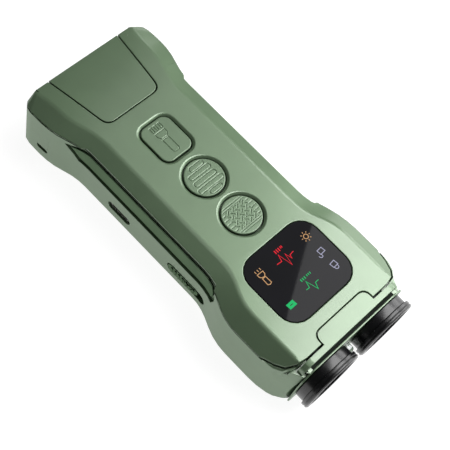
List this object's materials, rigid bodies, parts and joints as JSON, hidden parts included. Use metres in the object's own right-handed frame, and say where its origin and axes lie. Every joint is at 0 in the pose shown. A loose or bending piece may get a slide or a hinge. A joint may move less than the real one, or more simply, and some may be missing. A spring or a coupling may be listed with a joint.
{
  "type": "tactical flashlight",
  "caption": "Flat waisted flashlight with side-by-side lamp heads, a lit display window, push buttons and a slide switch.",
  "frame": {"origin": "centre of the bounding box's bottom, on the flat back of the housing", "axes": "+X from the tail to the lamp heads, +Y across the housing to the side without the slide switch, +Z from the flat back up to the display and buttons"},
  "size_m": [0.1294, 0.0542, 0.0253],
  "materials": {
    "green_shell": "satin sage green anodised, with a fine metallic grain",
    "green_cap": "satin sage green, slightly duller than the shell",
    "trim_green": "satin dark grey-green",
    "gloss_black": "gloss black anodised",
    "smoked_window": "polished smoked black",
    "display_light": "lit symbols in amber, red, green and pale lavender on black",
    "clear_glass": "clear, polished",
    "seal_rubber": "matt black",
    "black_plastic": "fine moulded texture",
    "screw_steel": "brushed",
    "nickel": "bright nickel plate",
    "reflector_mirror": "vacuum-coated, fine orange peel",
    "board_green": "solder mask over glass fibre board",
    "sink_aluminium": "machined, matt",
    "emitter": "yellow phosphor under a clear dome",
    "cell_wrap": "shrunk blue wrap",
    "red_lead": "silicone insulation",
    "black_lead": "silicone insulation"
  },
  "bodies": {
    "housing": {"upper_shell": "green_shell", "lower_shell": "green_shell", "front_bezel": "green_shell", "side_trim_left": "trim_green", "side_trim_right": "trim_green", "gasket_right": "seal_rubber", "gasket_left": "seal_rubber", "case_screw_1": "screw_steel", "case_screw_2": "screw_steel", "case_screw_3": "screw_steel", "case_screw_4": "screw_steel", "torch_button_seal": "seal_rubber", "torch_button_switch": "black_plastic", "stripe_button_seal": "seal_rubber", "stripe_button_switch": "black_plastic", "weave_button_seal": "seal_rubber", "weave_button_switch": "black_plastic", "slide_switch_body": "screw_steel", "charge_socket": "nickel", "charge_socket_tongue": "black_plastic", "side_board": "board_green", "display_window": "smoked_window", "display_gasket": "seal_rubber", "display_module": "display_light", "battery_cell": "cell_wrap", "battery_cradle": "black_plastic", "positive_contact": "nickel", "main_board": "board_green", "battery_lead_positive": "red_lead", "battery_lead_negative": "black_lead", "left_lamp_barrel": "gloss_black", "left_lamp_bezel_ring": "gloss_black", "left_lamp_lens": "clear_glass", "left_lamp_o_ring": "seal_rubber", "left_lamp_reflector": "reflector_mirror", "left_lamp_led_board": "sink_aluminium", "left_lamp_led": "emitter", "left_lamp_lead": "red_lead", "right_lamp_barrel": "gloss_black", "right_lamp_bezel_ring": "gloss_black", "right_lamp_lens": "clear_glass", "right_lamp_o_ring": "seal_rubber", "right_lamp_reflector": "reflector_mirror", "right_lamp_led_board": "sink_aluminium", "right_lamp_led": "emitter", "right_lamp_lead": "red_lead", "heat_sink": "sink_aluminium", "centre_led": "emitter", "centre_lens": "clear_glass"},
    "torch_button": {"torch_button_cap": "green_cap", "torch_button_plunger": "nickel"},
    "stripe_button": {"stripe_button_cap": "green_cap", "stripe_button_plunger": "nickel"},
    "weave_button": {"weave_button_cap": "green_cap", "weave_button_plunger": "nickel"},
    "slide_switch": {"switch_knob": "trim_green", "slide_switch_lever": "black_plastic"},
    "hatch": {"rear_hatch": "green_shell", "negative_plate": "nickel", "negative_spring": "nickel"}
  },
  "joints": [
    {"name": "torch_button_press", "type": "slide", "parent": "housing", "child": "torch_button", "axis": [0, 0, -1], "range_m": [0, 0.0006], "stiffness_N_per_m": 1800, "springref_m": -0.0002},
    {"name": "stripe_button_press", "type": "slide", "parent": "housing", "child": "stripe_button", "axis": [0, 0, -1], "range_m": [0, 0.0006], "stiffness_N_per_m": 1800, "springref_m": -0.0002},
    {"name": "weave_button_press", "type": "slide", "parent": "housing", "child": "weave_button", "axis": [0, 0, -1], "range_m": [0, 0.0006], "stiffness_N_per_m": 1800, "springref_m": -0.0002},
    {"name": "switch_slide", "type": "slide", "parent": "housing", "child": "slide_switch", "axis": [1, 0, 0], "range_m": [0, 0.0032]},
    {"name": "hatch_slide", "type": "slide", "parent": "housing", "child": "hatch", "axis": [-1, 0, 0], "range_m": [0, 0.03]}
  ]
}
